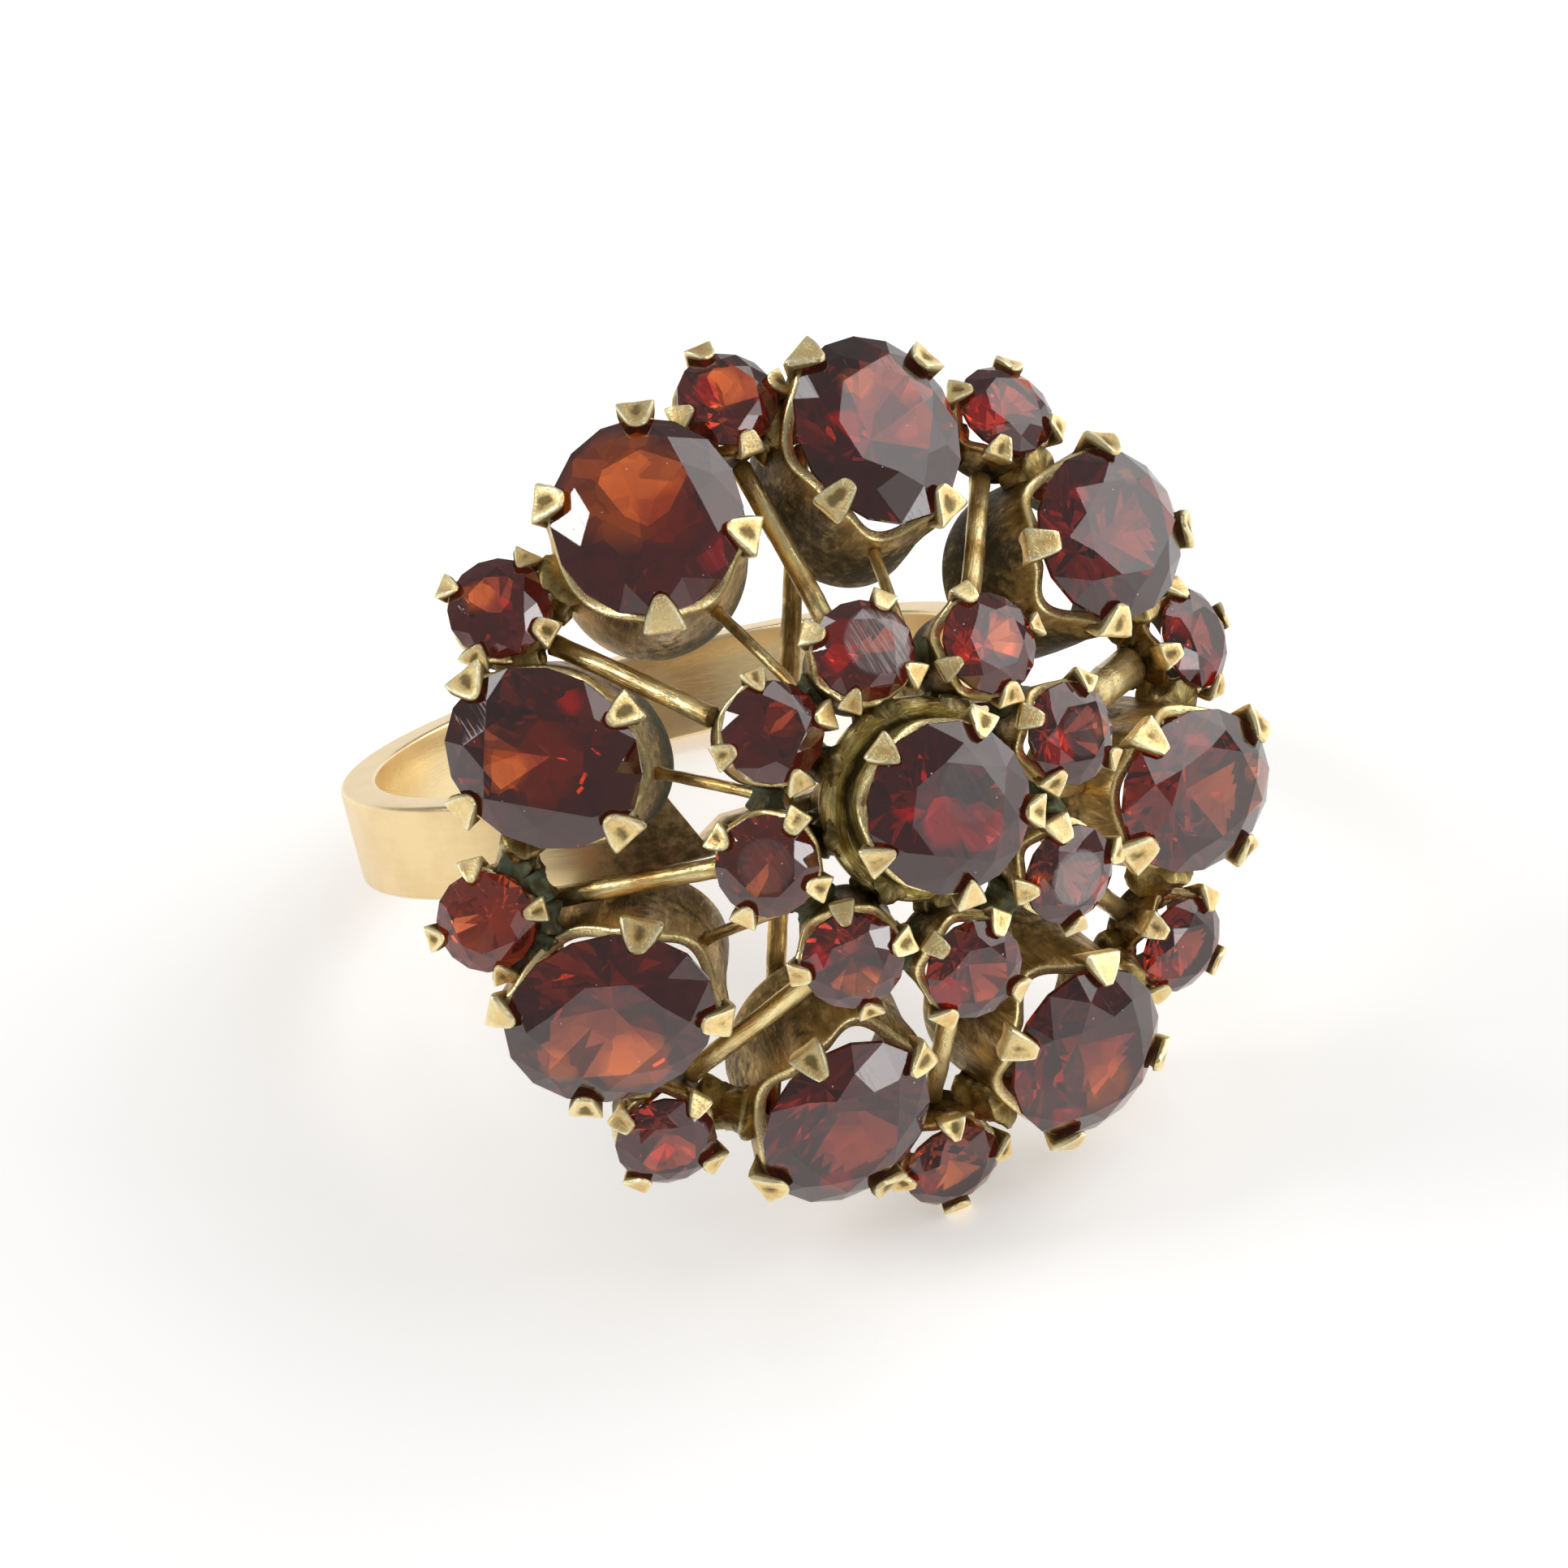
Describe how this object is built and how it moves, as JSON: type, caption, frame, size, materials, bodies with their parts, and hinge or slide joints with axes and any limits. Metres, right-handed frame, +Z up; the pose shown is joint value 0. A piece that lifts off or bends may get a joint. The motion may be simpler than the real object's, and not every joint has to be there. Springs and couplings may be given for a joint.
{
  "type": "garnet cluster ring",
  "caption": "Domed cluster ring: a plain band carries faceted round and oval stones in open clawed collets, joined by soldered wires and laid on its side.",
  "frame": {"origin": "middle of the ring's outline on the surface it lies on", "axes": "+Z up from that surface, the stones face -Y and half up, the finger hole leans back towards +Y"},
  "size_m": [0.0278, 0.0276, 0.0237],
  "materials": {
    "gold": "worn satin gold, bright on the claws and the band, dark and streaked in the recesses",
    "garnet_middle": "polished facets, deep wine red",
    "garnet_oval": "polished facets, brown red to orange",
    "garnet_small": "polished facets, bright to dark red"
  },
  "bodies": {
    "root": {"mounting": "gold", "middle_stone": "garnet_middle", "inner_stone_1": "garnet_small", "inner_stone_2": "garnet_small", "inner_stone_3": "garnet_small", "inner_stone_4": "garnet_small", "inner_stone_5": "garnet_small", "inner_stone_6": "garnet_small", "inner_stone_7": "garnet_small", "inner_stone_8": "garnet_small", "oval_stone_1": "garnet_oval", "oval_stone_2": "garnet_oval", "oval_stone_3": "garnet_oval", "oval_stone_4": "garnet_oval", "oval_stone_5": "garnet_oval", "oval_stone_6": "garnet_oval", "oval_stone_7": "garnet_oval", "oval_stone_8": "garnet_oval", "outer_stone_1": "garnet_small", "outer_stone_2": "garnet_small", "outer_stone_3": "garnet_small", "outer_stone_4": "garnet_small", "outer_stone_5": "garnet_small", "outer_stone_6": "garnet_small", "outer_stone_7": "garnet_small", "outer_stone_8": "garnet_small"}
  },
  "joints": []
}
